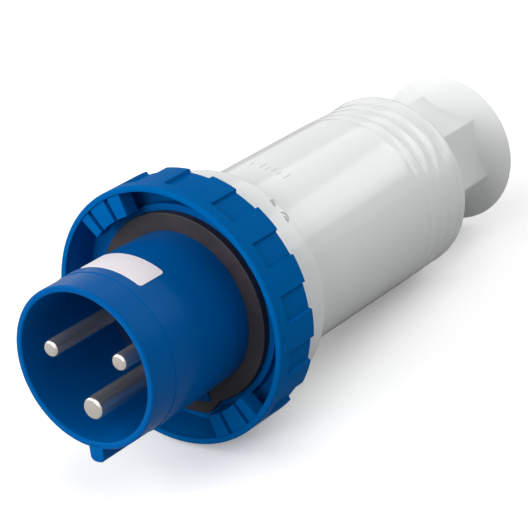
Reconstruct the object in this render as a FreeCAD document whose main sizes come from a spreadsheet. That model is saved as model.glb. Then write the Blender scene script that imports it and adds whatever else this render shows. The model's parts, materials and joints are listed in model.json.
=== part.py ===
# Industrial pin and sleeve plug, two poles and earth, 32 A size, with a bayonet locking ring.
# Every piece is drawn along the plug's own axis: +Y runs from the mouth to the cable entry,
# -Z is the side of the key, and a station is a distance along Y from the mouth.
# A shared placement then lays the plug down on its locking ring and on its collar.

import FreeCAD, Part
import math
import os

import Sketcher
from FreeCAD import Placement, Rotation, Vector

# Driving dimensions, in millimetres and degrees
SIZES = {
    # sleeve and its key
    "mouth_radius": 28.75,
    "mouth_wall": 2.4,
    "rim_chamfer": 0.5,
    "front_band": 12.0,
    "band_step": 0.25,
    "sleeve_draft": 0.7,
    "socket_depth": 46.0,
    "carrier_step": 0.65,
    "key_width": 5.9,
    "key_height": 5.15,
    "key_round": 2.2,
    # mating gasket and the flange behind it
    "gasket_station": 52.0,
    "gasket_thickness": 3.0,
    "gasket_width": 5.7,
    "gasket_fit": 0.1,
    "tail_height": 9.6,
    "tail_root_height": 3.5,
    "tail_tip_width": 13.0,
    "tail_root_width": 23.6,
    "tail_round": 4.0,
    "flange_thickness": 2.9,
    "flange_overlap": 1.3,
    "lobe_margin": 0.5,
    # locking ring
    "ring_lead": 8.0,
    "ring_hollow": 6.9,
    "ring_step": 0.9,
    "ring_lip_wall": 2.2,
    "ring_chamfer": 0.6,
    "ring_lip_length": 3.5,
    "ring_draft_length": 2.0,
    "ring_wall": 5.3,
    "grip_count": 15,
    "grip_depth": 1.3,
    "grip_angle": 12.0,
    "grip_phase": 33.0,
    "grip_front": 5.0,
    "tab_phase": -32.5,
    "tab_angle": 28.0,
    "tab_reach": 7.2,
    "tab_inset": 0.5,
    "tab_thickness": 6.0,
    "tab_slot_angle": 2.4,
    "tab_slot_spacing": 12.5,
    "tab_slot_shift": -1.15,
    "tab_slot_depth": 1.6,
    "ring_travel": 45.0,
    "stop_angle": 8.0,
    "stop_play": 1.0,
    "stop_clearance": 0.4,
    # neck that carries the ring, and spigot that enters the housing
    "neck_rise": 6.4,
    "ring_gap": 0.3,
    "ring_play": 0.5,
    "spigot_step": 1.2,
    "spigot_wall": 2.4,
    "spigot_length": 12.4,
    "spigot_fit": 0.3,
    "lug_count": 3,
    "lug_height": 2.7,
    "lug_angle": 20.0,
    "lug_length": 4.1,
    "lug_inset": 1.1,
    "lug_play": 0.3,
    "entry_clearance": 3.0,
    # contact carrier
    "carrier_fit": 0.15,
    "carrier_ledge_inset": 1.0,
    "carrier_flange": 3.0,
    "carrier_flange_margin": 0.3,
    "pin_inset": 11.28,
    "pole_angle": 75.0,
    "tower_wall": 2.0,
    "tower_length": 14.0,
    "tower_window": 6.4,
    "boss_radius": 4.2,
    "core_face": 6.0,
    "core_inner_radius": 6.5,
    "core_rim": 2.5,
    "core_clearance": 9.0,
    # contact pins
    "earth_radius": 4.0,
    "pole_radius": 3.0,
    "pin_recess": 1.2,
    "pin_chamfer": 0.65,
    "pin_fit": 0.05,
    "shank_step": 0.4,
    "barrel_radius": 5.5,
    "barrel_fit": 0.1,
    "barrel_length": 19.5,
    "barrel_gap": 0.5,
    "wire_bore_radius": 3.4,
    "wire_bore_depth": 15.0,
    # terminal screws
    "terminal_screw_radius": 2.0,
    "terminal_screw_length": 5.6,
    "terminal_screw_gap": 0.2,
    "terminal_margin": 0.4,
    "terminal_spacing": 6.0,
    "screw_fit": 0.05,
    "driver_slot": 0.8,
    "driver_slot_depth": 1.0,
    # carrier screws, retainer and its screw
    "carrier_screw_count": 3,
    "carrier_screw_inset": 2.8,
    "carrier_screw_radius": 1.2,
    "carrier_screw_length": 7.5,
    "carrier_screw_hole": 0.4,
    "carrier_head_radius": 2.4,
    "carrier_head_height": 1.8,
    "retainer_margin": 2.33,
    "retainer_thickness": 2.5,
    "retainer_wire_radius": 4.2,
    "retainer_screw_radius": 1.5,
    "retainer_screw_length": 9.0,
    "retainer_head_radius": 3.2,
    "retainer_head_height": 2.0,
    # rear housing
    "collar_flange_wall": 3.8,
    "collar_flange_back": 0.8,
    "flange_edge": 0.8,
    "flange_shoulder": 2.6,
    "flange_bend": 0.9,
    "body_inset": 0.4,
    "body_blend": 1.4,
    "body_length": 70.8,
    "housing_wall": 3.1,
    "housing_seal_thickness": 1.8,
    "ridge_count": 4,
    "ridge_pitch": 7.6,
    "ridge_rise": 1.7,
    "ridge_groove_rise": 0.2,
    "ridge_slope": 1.5,
    "ridge_groove": 0.5,
    "rear_edge": 1.2,
    "end_wall": 3.2,
    "end_taper": 5.0,
    # gland: threaded neck, seal, clamping cage, thrust ring and nut
    "thread_radius": 17.4,
    "neck_wall": 3.2,
    "gland_floor": 4.0,
    "entry_ledge": 3.2,
    "gland_fit": 0.2,
    "seal_length": 13.5,
    "seal_wall": 6.7,
    "seal_taper": 2.0,
    "cage_length": 8.3,
    "cage_wall": 5.0,
    "cage_slots": 8,
    "cage_slot_width": 1.4,
    "cage_slot_length": 6.0,
    "thrust_thickness": 2.0,
    "thrust_wall": 4.2,
    "thrust_gap": 0.3,
    "thrust_proud": 0.1,
    "nut_gap": 3.8,
    "nut_thread_fit": 0.3,
    "nut_corner_wall": 5.94,
    "nut_phase": 48.2,
    "nut_entry_play": 0.5,
    "nut_throat_length": 4.0,
    "nut_bell_length": 13.9,
    "nut_rim_rise": 6.21,
    "nut_rim_wall": 1.3,
    "nut_rim_edge": 0.65,
    "nut_flare_length": 8.5,
    "nut_flare_inset": 0.9,
    "nut_flare_bend": 2.64,
    "bell_bend_radius": 6.75,
    "bell_bend_length": 9.0,
}

doc = FreeCAD.newDocument("pin_and_sleeve_plug")
sheet = doc.addObject("Spreadsheet::Sheet", "Dims")


class Size:
    # A size that carries both its value and the sheet formula that gives it

    def __init__(self, value, text):
        self.value = value
        self.text = text

    def __add__(self, other):
        other = as_size(other)
        return Size(self.value + other.value, f"({self.text} + {other.text})")

    def __sub__(self, other):
        other = as_size(other)
        return Size(self.value - other.value, f"({self.text} - {other.text})")

    def __mul__(self, other):
        other = as_size(other)
        return Size(self.value * other.value, f"({self.text} * {other.text})")

    def __truediv__(self, other):
        other = as_size(other)
        return Size(self.value / other.value, f"({self.text} / {other.text})")

    def __neg__(self):
        return Size(-self.value, f"(0 - {self.text})")


def as_size(number):
    return number if isinstance(number, Size) else Size(float(number), repr(float(number)))


class Dims:
    # The named cells of the sheet, as attributes

    def __init__(self, sizes):
        for row, (name, value) in enumerate(sizes.items(), start=1):
            sheet.set(f"A{row}", name)
            sheet.set(f"B{row}", str(value))
            sheet.setAlias(f"B{row}", name)
            setattr(self, name, Size(float(value), f"Dims.{name}"))


mm = Dims(SIZES)
doc.recompute()

# Radii that follow from the driving dimensions, from the sleeve out to the ring and back to the gland
mouth_bore = mm.mouth_radius - mm.mouth_wall
sleeve_radius = mm.mouth_radius + mm.band_step
seat_radius = sleeve_radius - mm.sleeve_draft
key_reach = mm.mouth_radius + mm.key_height
gasket_radius = sleeve_radius + mm.gasket_width
tail_reach = sleeve_radius + mm.tail_height
tail_root = sleeve_radius + mm.tail_root_height
carrier_bore = mouth_bore + mm.carrier_step
neck_radius = sleeve_radius + mm.neck_rise
flange_radius = neck_radius + mm.ring_gap + mm.flange_overlap
ring_bearing = neck_radius + mm.ring_gap
ring_bore = flange_radius + mm.ring_hollow
ring_lip_bore = ring_bore + mm.ring_step
ring_radius = ring_lip_bore + mm.ring_lip_wall
tab_inner = ring_bore - mm.tab_reach
spigot_radius = neck_radius - mm.spigot_step
spigot_bore = spigot_radius - mm.spigot_wall
socket_bore = spigot_radius + mm.spigot_fit
lock_radius = spigot_radius + mm.lug_height + mm.lug_play
collar_radius = lock_radius + mm.collar_flange_wall
body_radius = socket_bore - mm.body_inset
housing_bore = body_radius - mm.housing_wall
ridge_radius = body_radius + mm.ridge_rise
groove_radius = body_radius + mm.ridge_groove_rise
pin_pitch = mouth_bore - mm.pin_inset
tower_radius = mm.barrel_radius + mm.barrel_fit + mm.tower_wall
tower_half_angle = as_size(math.degrees(math.asin(tower_radius.value / pin_pitch.value)))
screw_circle = spigot_bore - mm.carrier_screw_inset
retainer_radius = pin_pitch + tower_radius + mm.retainer_margin
gland_bore = mm.thread_radius - mm.neck_wall
entry_radius = gland_bore - mm.entry_ledge
seal_bore = gland_bore - mm.seal_wall
cage_bore = gland_bore - mm.cage_wall
thrust_bore = gland_bore - mm.thrust_wall
nut_entry = thrust_bore + mm.nut_entry_play
nut_corner = mm.thread_radius + mm.nut_corner_wall
nut_rim = nut_corner + mm.nut_rim_rise

# Stations that follow from the driving dimensions, from the mouth to the nut's rim
gasket_seat = mm.gasket_station + mm.gasket_thickness
flange_rear = gasket_seat + mm.flange_thickness
ring_front = mm.gasket_station - mm.ring_lead
ring_floor = flange_rear + mm.ring_gap
ring_rear = ring_floor + mm.ring_wall
housing_front = ring_rear + mm.ring_play
carrier_ledge = housing_front - mm.carrier_ledge_inset
spigot_end = housing_front + mm.spigot_length
lug_rear = spigot_end - mm.lug_inset
lug_front = lug_rear - mm.lug_length
seal_seat = spigot_end + mm.housing_seal_thickness
collar_end = seal_seat + mm.collar_flange_back
carrier_back = carrier_ledge + mm.carrier_flange
tower_rear = carrier_back + mm.tower_length
barrel_rear = tower_rear - mm.barrel_gap
barrel_seat = barrel_rear - mm.barrel_length
first_screw = carrier_back + mm.tower_window / 2 + mm.terminal_margin
second_screw = first_screw + mm.terminal_spacing
retainer_rear = tower_rear + mm.retainer_thickness
first_ridge = collar_end + mm.body_length
last_ridge = first_ridge + mm.ridge_pitch * (mm.ridge_count - 1)
housing_rear = last_ridge + mm.ridge_pitch
seal_front = housing_rear - mm.end_wall + mm.gland_floor
cage_front = seal_front + mm.seal_length
cage_rear = cage_front + mm.cage_length
thrust_front = cage_rear + mm.thrust_gap
thrust_rear = thrust_front + mm.thrust_thickness
gland_mouth = thrust_rear - mm.thrust_proud
nut_front = housing_rear + mm.nut_gap
nut_shoulder = thrust_rear + mm.thrust_gap
nut_throat_end = nut_shoulder + mm.nut_throat_length
nut_rim_station = nut_throat_end + mm.nut_bell_length

# The plug lies on the ring's pads and on the last ridge of the collar
crest_station = housing_rear - mm.rear_edge
rest_tilt = math.degrees(math.atan2(
    ring_radius.value - ridge_radius.value,
    crest_station.value - ring_rear.value,
))
rest = Placement(Vector(0, 0, 0), Rotation(Vector(-1, 0, 0), rest_tilt))

nodes = []


def keep(feature, name, local=Placement()):
    # Names the finished sub-part and lays it where the plug rests
    feature.Label = name
    feature.Placement = rest.multiply(local)
    nodes.append(feature)


def new_body(name):
    return doc.addObject("PartDesign::Body", name + "_body")


def origin_feature(body, role):
    return next(item for item in body.Origin.OriginFeatures if item.Role == role)


def new_sketch(body, role, name):
    sketch = body.newObject("Sketcher::SketchObject", name)
    sketch.AttachmentSupport = [(origin_feature(body, role), "")]
    sketch.MapMode = "FlatFace"
    return sketch


def bind_distance(sketch, kind, geometry, end, size):
    # Ties one coordinate of a point to its formula; a coordinate of zero lies on the sketch's axis
    size = as_size(size)
    if abs(size.value) < 1e-9:
        axis = -2 if kind == "DistanceX" else -1
        sketch.addConstraint(Sketcher.Constraint("PointOnObject", geometry, end, axis))
    elif size.value > 0:
        index = sketch.addConstraint(Sketcher.Constraint(kind, -1, 1, geometry, end, size.value))
        sketch.setExpression(f"Constraints[{index}]", size.text)
    else:
        index = sketch.addConstraint(Sketcher.Constraint(kind, geometry, end, -1, 1, -size.value))
        sketch.setExpression(f"Constraints[{index}]", (-size).text)


def draw_polygon(sketch, corners):
    spots = [Vector(as_size(x).value, as_size(y).value, 0) for x, y in corners]
    count = len(corners)
    for i in range(count):
        sketch.addGeometry(Part.LineSegment(spots[i], spots[(i + 1) % count]))
    for i in range(count):
        sketch.addConstraint(Sketcher.Constraint("Coincident", i, 2, (i + 1) % count, 1))
    for i, (x, y) in enumerate(corners):
        bind_distance(sketch, "DistanceX", i, 1, x)
        bind_distance(sketch, "DistanceY", i, 1, y)


def draw_circle(sketch, x, y, radius):
    radius = as_size(radius)
    centre = Vector(as_size(x).value, as_size(y).value, 0)
    circle = sketch.addGeometry(Part.Circle(centre, Vector(0, 0, 1), radius.value))
    bind_distance(sketch, "DistanceX", circle, 3, x)
    bind_distance(sketch, "DistanceY", circle, 3, y)
    index = sketch.addConstraint(Sketcher.Constraint("Radius", circle, radius.value))
    sketch.setExpression(f"Constraints[{index}]", radius.text)


def finish_feature(body, feature, grows):
    # Makes the feature the body's tip and checks that it added or removed material
    before = body.Tip.Shape.Volume if body.Tip else 0.0
    body.Tip = feature
    doc.recompute()
    change = feature.Shape.Volume - before
    if (change > 0) != grows or abs(change) < 1e-6:
        raise RuntimeError(f"{feature.Name} changed the volume by {change:.3f}")
    return feature


def turn(body, name, corners, cut=False, angle=360, at=90):
    # Turns corners (radius, station) about the plug axis, whole or as a sector around the angle at.
    # Angles run clockwise seen from the mouth, from +Z, so 90 is +X.
    before = body.Tip
    sketch = new_sketch(body, "XY_Plane", name + "_profile")
    sector = Rotation(Vector(0, 1, 0), as_size(at).value - 90)
    sketch.AttachmentOffset = Placement(Vector(0, 0, 0), sector)
    draw_polygon(sketch, corners)
    kind = "PartDesign::Groove" if cut else "PartDesign::Revolution"
    feature = body.newObject(kind, name)
    feature.Profile = sketch
    feature.ReferenceAxis = (sketch, ["V_Axis"])
    feature.Midplane = True
    angle = as_size(angle)
    feature.Angle = angle.value
    feature.setExpression("Angle", angle.text)
    body.Tip = before
    return finish_feature(body, feature, grows=not cut)


def extrude(body, name, draw, station, length, cut=False, at=0):
    # Carries a section drawn across the axis rearwards from a station; at turns the section about the axis
    before = body.Tip
    sketch = new_sketch(body, "XZ_Plane", name + "_section")
    station = as_size(station)
    turned = Rotation(Vector(0, 0, -1), as_size(at).value)
    sketch.AttachmentOffset = Placement(Vector(0, 0, -station.value), turned)
    sketch.setExpression("AttachmentOffset.Base.z", (-station).text)
    draw(sketch)
    feature = body.newObject("PartDesign::Pocket" if cut else "PartDesign::Pad", name)
    feature.Profile = sketch
    length = as_size(length)
    feature.Length = length.value
    feature.setExpression("Length", length.text)
    feature.Reversed = not cut
    body.Tip = before
    return finish_feature(body, feature, grows=not cut)


def repeat_around(body, feature, count, cut=False):
    pattern = body.newObject("PartDesign::PolarPattern", feature.Name + "_pattern")
    pattern.Originals = [feature]
    pattern.Axis = (origin_feature(body, "Y_Axis"), [""])
    pattern.Angle = 360
    pattern.Occurrences = int(count.value)
    pattern.setExpression("Occurrences", count.text)
    body.Tip = feature
    return finish_feature(body, pattern, grows=not cut)


def round_edges(body, name, radius, wanted):
    base = body.Tip
    edges = [f"Edge{i}" for i, edge in enumerate(base.Shape.Edges, start=1) if wanted(edge)]
    fillet = body.newObject("PartDesign::Fillet", name)
    fillet.Base = (base, edges)
    fillet.Radius = radius.value
    fillet.setExpression("Radius", radius.text)
    body.Tip = fillet
    doc.recompute()


def rectangle(inner, outer, front, rear):
    return [(inner, front), (outer, front), (outer, rear), (inner, rear)]


def bar(half_width, inner, outer):
    # A section drawn straight down from the axis, towards the key
    def draw(sketch):
        draw_polygon(sketch, [
            (-half_width, -inner), (-half_width, -outer), (half_width, -outer), (half_width, -inner),
        ])
    return draw


def disc(radius, x=0, y=0):
    def draw(sketch):
        draw_circle(sketch, x, y, radius)
    return draw


def along_key(half_width, reach):
    # Picks the edges that run along the axis at the corners of the key
    def wanted(edge):
        ends = [vertex.Point for vertex in edge.Vertexes]
        at_corner = all(
            abs(abs(spot.x) - half_width.value) < 0.01 and abs(spot.z + reach.value) < 0.01
            for spot in ends
        )
        return len(ends) == 2 and at_corner and abs(ends[0].x - ends[1].x) < 0.01
    return wanted


# Where each pin stands, as an angle from the top, and its radius
PINS = {
    "earth": (as_size(180), mm.earth_radius),
    "line": (mm.pole_angle, mm.pole_radius),
    "neutral": (-mm.pole_angle, mm.pole_radius),
}


def pin_place(angle):
    # Lays a piece that is drawn on the plug axis onto a pin's own axis
    turned = math.radians(angle.value)
    reach = pin_pitch.value
    return Placement(Vector(reach * math.sin(turned), 0, reach * math.cos(turned)), Rotation())


def across_key(sketch, tip_width, root_width, root, reach):
    half_tip = tip_width / 2
    half_root = root_width / 2
    draw_polygon(sketch, [(-half_root, -root), (-half_tip, -reach), (half_tip, -reach), (half_root, -root)])


def make_sleeve():
    body = new_body("plug_sleeve")
    turn(body, "sleeve_shell", [
        (mouth_bore, mm.rim_chamfer),
        (mouth_bore + mm.rim_chamfer, 0),
        (mm.mouth_radius - mm.rim_chamfer, 0),
        (mm.mouth_radius, mm.rim_chamfer),
        (mm.mouth_radius, mm.front_band),
        (sleeve_radius, mm.front_band + mm.band_step),
        (seat_radius, gasket_seat),
        (flange_radius, gasket_seat),
        (flange_radius, flange_rear),
        (neck_radius, flange_rear),
        (neck_radius, housing_front),
        (spigot_radius, housing_front),
        (spigot_radius, spigot_end),
        (spigot_bore, spigot_end),
        (spigot_bore, carrier_ledge),
        (carrier_bore, carrier_ledge),
        (carrier_bore, mm.socket_depth),
        (mouth_bore, mm.socket_depth),
    ])
    half_key = mm.key_width / 2
    extrude(body, "key_rib", bar(half_key, mm.mouth_radius - mm.mouth_wall / 2, key_reach), 0, gasket_seat)
    round_edges(body, "key_rounding", mm.key_round, along_key(half_key, key_reach))

    def draw_lobe(sketch):
        margin = mm.lobe_margin
        across_key(sketch, mm.tail_tip_width + margin * 2, mm.tail_root_width + margin * 2,
                   tail_root, tail_reach + margin)

    extrude(body, "flange_lobe", draw_lobe, gasket_seat, mm.flange_thickness)
    round_edges(body, "lobe_rounding", mm.tail_round,
                along_key(mm.tail_tip_width / 2 + mm.lobe_margin, tail_reach + mm.lobe_margin))
    stop_root = neck_radius - mm.ring_gap
    turn(body, "turn_stop", rectangle(stop_root, flange_radius, flange_rear, ring_rear - mm.ring_gap),
         angle=mm.stop_angle, at=0)
    lug_root = spigot_radius - mm.spigot_wall / 2
    lug = turn(body, "lock_lug", rectangle(lug_root, spigot_radius + mm.lug_height, lug_front, lug_rear),
               angle=mm.lug_angle)
    repeat_around(body, lug, mm.lug_count)
    screw_hole = disc(mm.carrier_screw_radius + mm.screw_fit, 0, screw_circle)
    hole = extrude(body, "carrier_screw_hole", screw_hole, carrier_back - mm.carrier_screw_length,
                   mm.carrier_screw_length, cut=True)
    repeat_around(body, hole, mm.carrier_screw_count, cut=True)
    keep(body, "plug_sleeve")


def make_carrier():
    body = new_body("contact_carrier")
    plug_radius = carrier_bore - mm.carrier_fit
    flange = spigot_bore - mm.carrier_flange_margin
    turn(body, "carrier_block", [
        (0, mm.socket_depth),
        (plug_radius, mm.socket_depth),
        (plug_radius, carrier_ledge),
        (flange, carrier_ledge),
        (flange, carrier_back),
        (0, carrier_back),
    ])
    extrude(body, "centre_boss", disc(mm.boss_radius), carrier_back, mm.tower_length)
    block_length = tower_rear - mm.socket_depth
    half_window = mm.tower_window / 2
    window = bar(half_window, pin_pitch, pin_pitch + tower_radius * 2)
    window_front = first_screw - half_window
    window_length = mm.terminal_spacing + mm.tower_window
    for name, (angle, radius) in PINS.items():
        tower = disc(tower_radius, 0, pin_pitch)
        shank_bore = disc(radius + mm.shank_step + mm.pin_fit, 0, pin_pitch)
        seat = disc(mm.barrel_radius + mm.barrel_fit, 0, pin_pitch)
        extrude(body, name + "_tower", tower, carrier_back, mm.tower_length, at=angle)
        extrude(body, name + "_bore", shank_bore, mm.socket_depth, block_length, cut=True, at=angle)
        extrude(body, name + "_seat", seat, barrel_seat, tower_rear - barrel_seat, cut=True, at=angle)
        extrude(body, name + "_window", window, window_front, window_length, cut=True, at=angle - 180)
    core = rectangle(mm.core_inner_radius, carrier_bore - mm.core_rim, mm.socket_depth + mm.core_face,
                     carrier_back)
    side_gap = as_size(180) - mm.pole_angle
    for name, middle, width in (
        ("top_core", as_size(0), mm.pole_angle * 2),
        ("line_core", mm.pole_angle + side_gap / 2, side_gap),
        ("neutral_core", -(mm.pole_angle + side_gap / 2), side_gap),
    ):
        turn(body, name, core, cut=True, angle=width - tower_half_angle * 2 - mm.core_clearance, at=middle)
    extrude(body, "retainer_pilot", disc(mm.retainer_screw_radius + mm.screw_fit),
            retainer_rear - mm.retainer_screw_length, mm.retainer_screw_length, cut=True)
    clearance = mm.carrier_screw_radius + mm.carrier_screw_hole
    hole = extrude(body, "carrier_screw_clearance", disc(clearance, 0, screw_circle), carrier_ledge,
                   mm.carrier_flange, cut=True)
    repeat_around(body, hole, mm.carrier_screw_count, cut=True)
    keep(body, "contact_carrier")


def make_pin(name, angle, radius):
    body = new_body(name + "_pin")
    turn(body, name + "_shape", [
        (0, mm.pin_recess),
        (radius - mm.pin_chamfer, mm.pin_recess),
        (radius, mm.pin_recess + mm.pin_chamfer),
        (radius, mm.socket_depth),
        (radius + mm.shank_step, mm.socket_depth),
        (radius + mm.shank_step, barrel_seat),
        (mm.barrel_radius, barrel_seat),
        (mm.barrel_radius, barrel_rear),
        (mm.wire_bore_radius, barrel_rear),
        (mm.wire_bore_radius, barrel_rear - mm.wire_bore_depth),
        (0, barrel_rear - mm.wire_bore_depth),
    ])
    across = body.newObject("PartDesign::Pocket", name + "_tapped_holes")
    sketch = new_sketch(body, "XY_Plane", name + "_tapping")
    body.Tip = doc.getObject(name + "_shape")
    for station in (first_screw, second_screw):
        draw_circle(sketch, 0, station, mm.terminal_screw_radius + mm.screw_fit)
    across.Profile = sketch
    across.Length = mm.barrel_radius.value
    across.setExpression("Length", mm.barrel_radius.text)
    across.Reversed = True
    finish_feature(body, across, grows=False)
    facing_out = Placement(Vector(), Rotation(Vector(0, 1, 0), angle.value))
    keep(body, name + "_pin", pin_place(angle).multiply(facing_out))


def bound_cylinder(name, radius, height):
    cylinder = doc.addObject("Part::Cylinder", name)
    cylinder.Radius = radius.value
    cylinder.setExpression("Radius", radius.text)
    cylinder.Height = height.value
    cylinder.setExpression("Height", height.text)
    return cylinder


def cut_driver_slot(name, screw, radius, top):
    # A straight slot for the screwdriver, across the top of a screw that stands along Z
    slot = doc.addObject("Part::Box", name + "_slot")
    slot.Length = radius.value * 3
    slot.Width = mm.driver_slot.value
    slot.setExpression("Width", mm.driver_slot.text)
    slot.Height = mm.driver_slot_depth.value
    slot.setExpression("Height", mm.driver_slot_depth.text)
    floor = top - mm.driver_slot_depth
    corner = Vector(-slot.Length.Value / 2, -slot.Width.Value / 2, floor.value)
    slot.Placement = Placement(corner, Rotation())
    result = doc.addObject("Part::Cut", name)
    result.Base = screw
    result.Tool = slot
    return result


def headed_screw(name, radius, length, head_radius, head_height):
    # The shank runs down from the seat at height zero and the head stands above it
    shank = bound_cylinder(name + "_shank", radius, length)
    shank.Placement = Placement(Vector(0, 0, -length.value), Rotation())
    head = bound_cylinder(name + "_head", head_radius, head_height)
    screw = doc.addObject("Part::Fuse", name + "_blank")
    screw.Base = shank
    screw.Tool = head
    return cut_driver_slot(name, screw, head_radius, head_height)


REARWARDS = Rotation(Vector(1, 0, 0), -90)


def make_terminal_screws(name, angle):
    # Each pin's wire is held by two set screws that stand out from the axis
    facing_out = Placement(Vector(), Rotation(Vector(0, 1, 0), angle.value))
    radius = mm.terminal_screw_radius
    length = mm.terminal_screw_length
    tip = pin_pitch + mm.wire_bore_radius + mm.terminal_screw_gap
    for which, station in (("front", first_screw), ("rear", second_screw)):
        label = f"{name}_terminal_screw_{which}"
        blank = bound_cylinder(label + "_blank", radius, length)
        screw = cut_driver_slot(label + "_solid", blank, radius, length)
        seat = Placement(Vector(0, station.value, tip.value), Rotation())
        keep(screw, label, facing_out.multiply(seat))


def make_carrier_screws():
    screws = []
    count = int(mm.carrier_screw_count.value)
    for i in range(count):
        screw = headed_screw(f"carrier_screw_{i + 1}", mm.carrier_screw_radius, mm.carrier_screw_length,
                             mm.carrier_head_radius, mm.carrier_head_height)
        around = Placement(Vector(), Rotation(Vector(0, 1, 0), 360 / count * i))
        seat = Placement(Vector(0, carrier_back.value, screw_circle.value), REARWARDS)
        screw.Placement = around.multiply(seat)
        screws.append(screw)
    group = doc.addObject("Part::Compound", "carrier_screw_group")
    group.Links = screws
    keep(group, "carrier_screws")


def make_retainer():
    body = new_body("pin_retainer")
    extrude(body, "retainer_plate", disc(retainer_radius), tower_rear, mm.retainer_thickness)
    for name, (angle, _) in PINS.items():
        wire_hole = disc(mm.retainer_wire_radius, 0, pin_pitch)
        extrude(body, name + "_wire_hole", wire_hole, tower_rear, mm.retainer_thickness, cut=True, at=angle)
    extrude(body, "retainer_hole", disc(mm.retainer_screw_radius + mm.carrier_screw_hole), tower_rear,
            mm.retainer_thickness, cut=True)
    keep(body, "pin_retainer")
    screw = headed_screw("retainer_screw_solid", mm.retainer_screw_radius, mm.retainer_screw_length,
                         mm.retainer_head_radius, mm.retainer_head_height)
    keep(screw, "retainer_screw", Placement(Vector(0, retainer_rear.value, 0), REARWARDS))


def make_gasket():
    body = new_body("mating_gasket")
    front = mm.gasket_station
    thickness = mm.gasket_thickness
    extrude(body, "gasket_disc", disc(gasket_radius), front, thickness)

    def draw_tail(sketch):
        across_key(sketch, mm.tail_tip_width, mm.tail_root_width, tail_root, tail_reach)

    extrude(body, "gasket_tail", draw_tail, front, thickness)
    round_edges(body, "tail_rounding", mm.tail_round, along_key(mm.tail_tip_width / 2, tail_reach))
    extrude(body, "gasket_hole", disc(seat_radius + mm.gasket_fit), front, thickness, cut=True)
    half_key = mm.key_width / 2 + mm.gasket_fit
    key_hole = bar(half_key, sleeve_radius / 2, key_reach + mm.gasket_fit)
    extrude(body, "key_hole", key_hole, front, thickness, cut=True)
    keep(body, "mating_gasket")


def make_locking_ring():
    body = new_body("locking_ring")
    edge = mm.ring_chamfer
    lip_end = ring_front + mm.ring_lip_length
    turn(body, "ring_shell", [
        (ring_lip_bore, ring_front),
        (ring_radius - edge, ring_front),
        (ring_radius, ring_front + edge),
        (ring_radius, ring_rear),
        (ring_bearing, ring_rear),
        (ring_bearing, ring_floor),
        (ring_bore, ring_floor),
        (ring_bore, lip_end + mm.ring_draft_length),
        (ring_lip_bore, lip_end),
    ])
    recess = rectangle(ring_radius - mm.grip_depth, ring_radius + mm.grip_depth,
                       ring_front + mm.grip_front, ring_rear + mm.ring_gap)
    grip = turn(body, "grip_recess", recess, cut=True, angle=mm.grip_angle, at=mm.grip_phase)
    repeat_around(body, grip, mm.grip_count, cut=True)
    tab_front = ring_front + mm.tab_inset
    tab_outer = (ring_lip_bore + ring_radius) / 2
    for side, phase in (("upper", mm.tab_phase), ("lower", mm.tab_phase + 180)):
        tab = rectangle(tab_inner, tab_outer, tab_front, tab_front + mm.tab_thickness)
        turn(body, side + "_tab", tab, angle=mm.tab_angle, at=phase)
        slot = rectangle(tab_inner - mm.tab_inset, ring_lip_bore, tab_front - mm.tab_inset / 2,
                         tab_front + mm.tab_slot_depth)
        for hand, offset in (("left", -mm.tab_slot_spacing / 2), ("right", mm.tab_slot_spacing / 2)):
            turn(body, f"{side}_{hand}_slot", slot, cut=True, angle=mm.tab_slot_angle,
                 at=phase + mm.tab_slot_shift + offset)
    notch = rectangle(neck_radius - mm.ring_gap, flange_radius + mm.stop_clearance,
                      ring_floor - mm.ring_gap, ring_rear + mm.ring_gap)
    notch_angle = mm.stop_angle + mm.ring_travel + mm.stop_play * 2
    turn(body, "stop_notch", notch, cut=True, angle=notch_angle, at=mm.ring_travel / 2)
    keep(body, "locking_ring")


def make_housing():
    body = new_body("rear_housing")
    outside = [
        (socket_bore, housing_front),
        (collar_radius - mm.flange_edge, housing_front),
        (collar_radius, housing_front + mm.flange_edge),
        (collar_radius, collar_end - mm.flange_shoulder),
        (collar_radius - mm.flange_bend, collar_end - mm.flange_bend),
        (collar_radius - mm.flange_shoulder, collar_end),
        (body_radius + mm.body_blend, collar_end),
        (body_radius, collar_end + mm.body_blend),
        (body_radius, first_ridge - mm.ridge_slope),
        (groove_radius, first_ridge),
    ]
    for i in range(int(mm.ridge_count.value)):
        ridge = first_ridge + mm.ridge_pitch * i
        outside.append((ridge_radius, ridge + mm.ridge_slope))
        if ridge.value < last_ridge.value - 0.01:
            outside.append((ridge_radius, ridge + mm.ridge_pitch - mm.ridge_slope - mm.ridge_groove))
            outside.append((groove_radius, ridge + mm.ridge_pitch - mm.ridge_groove))
            outside.append((groove_radius, ridge + mm.ridge_pitch))
    outside += [
        (ridge_radius, crest_station),
        (ridge_radius - mm.rear_edge, housing_rear),
        (mm.thread_radius, housing_rear),
        (mm.thread_radius, gland_mouth),
    ]
    inside = [
        (gland_bore, gland_mouth),
        (gland_bore, seal_front),
        (entry_radius, seal_front),
        (entry_radius, housing_rear - mm.end_wall),
        (mm.thread_radius, housing_rear - mm.end_wall),
        (housing_bore, housing_rear - mm.end_wall - mm.end_taper),
        (housing_bore, seal_seat),
        (socket_bore, seal_seat),
    ]
    turn(body, "housing_shell", outside + inside)
    lock_root = spigot_radius - mm.spigot_fit
    groove = rectangle(lock_root, lock_radius, lug_front - mm.lug_play, lug_rear + mm.lug_play)
    turn(body, "lock_groove", groove, cut=True)
    way_in = rectangle(lock_root, lock_radius, housing_front - mm.lug_play, lug_front)
    between_lugs = as_size(90) + as_size(180) / mm.lug_count
    entry = turn(body, "lock_entry", way_in, cut=True, angle=mm.lug_angle + mm.entry_clearance,
                 at=between_lugs)
    repeat_around(body, entry, mm.lug_count, cut=True)
    keep(body, "rear_housing")


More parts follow.
